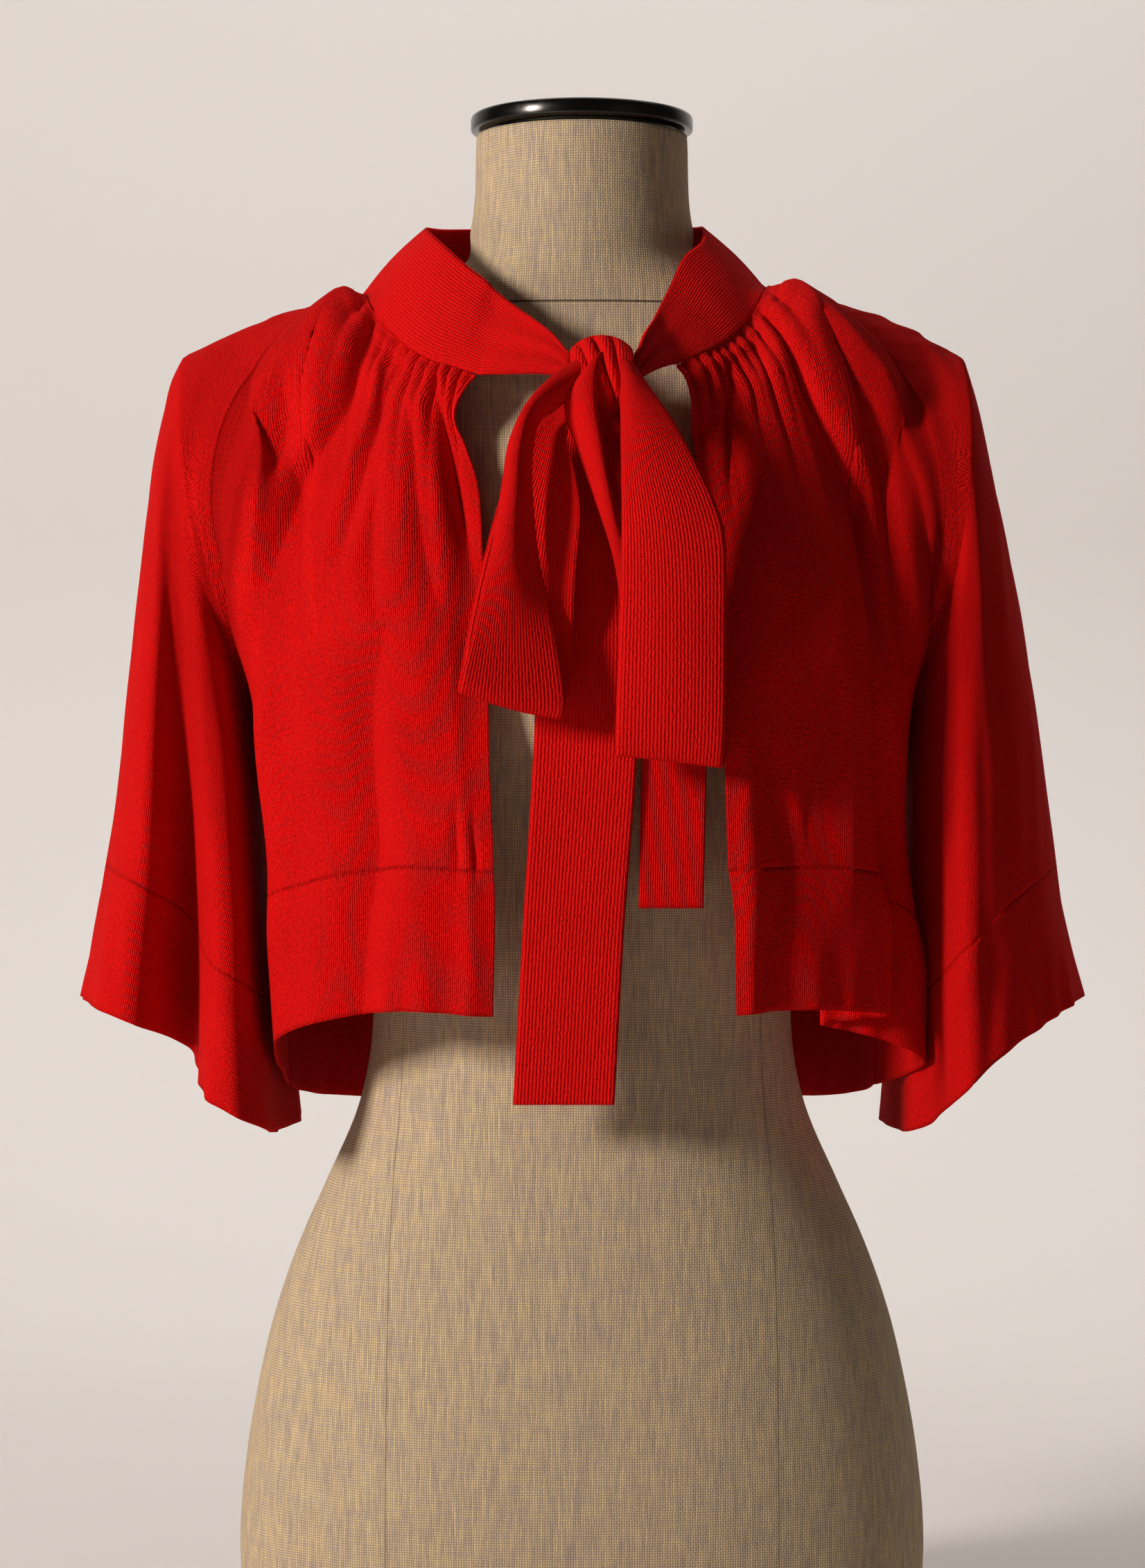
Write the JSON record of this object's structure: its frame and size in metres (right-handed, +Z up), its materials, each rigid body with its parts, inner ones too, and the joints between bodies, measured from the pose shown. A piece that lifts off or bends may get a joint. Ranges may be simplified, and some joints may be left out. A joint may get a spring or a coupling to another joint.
{
  "type": "casual jacket on a limbless dress form",
  "caption": "Short open knitted jacket with wide raglan sleeves, gathered neckline and a neck band tied in a bow, on a limbless dress form with a neck cap.",
  "frame": {"origin": "middle of the dress form's flat bottom", "axes": "+Z up, the jacket's open front faces -Y, the wearer's right is -X"},
  "size_m": [0.5147, 0.274, 0.806],
  "materials": {
    "linen": "plain woven linen, matt",
    "dark_metal": "dark polished metal",
    "red_knit": "fine matt knit",
    "red_rib": "fine lengthwise rib"
  },
  "bodies": {
    "root": {"form_body": "linen", "form_cap": "dark_metal", "front_right": "red_knit", "front_left": "red_knit", "back": "red_knit", "sleeve_right": "red_knit", "sleeve_left": "red_knit", "hem_band_right": "red_knit", "hem_band_left": "red_knit", "hem_band_back": "red_knit", "cuff_right": "red_knit", "cuff_left": "red_knit", "collar": "red_rib", "bow_knot": "red_rib", "bow_loop_right": "red_rib", "bow_loop_left": "red_rib", "tie_end_long": "red_rib", "tie_end_short": "red_rib"}
  },
  "joints": []
}
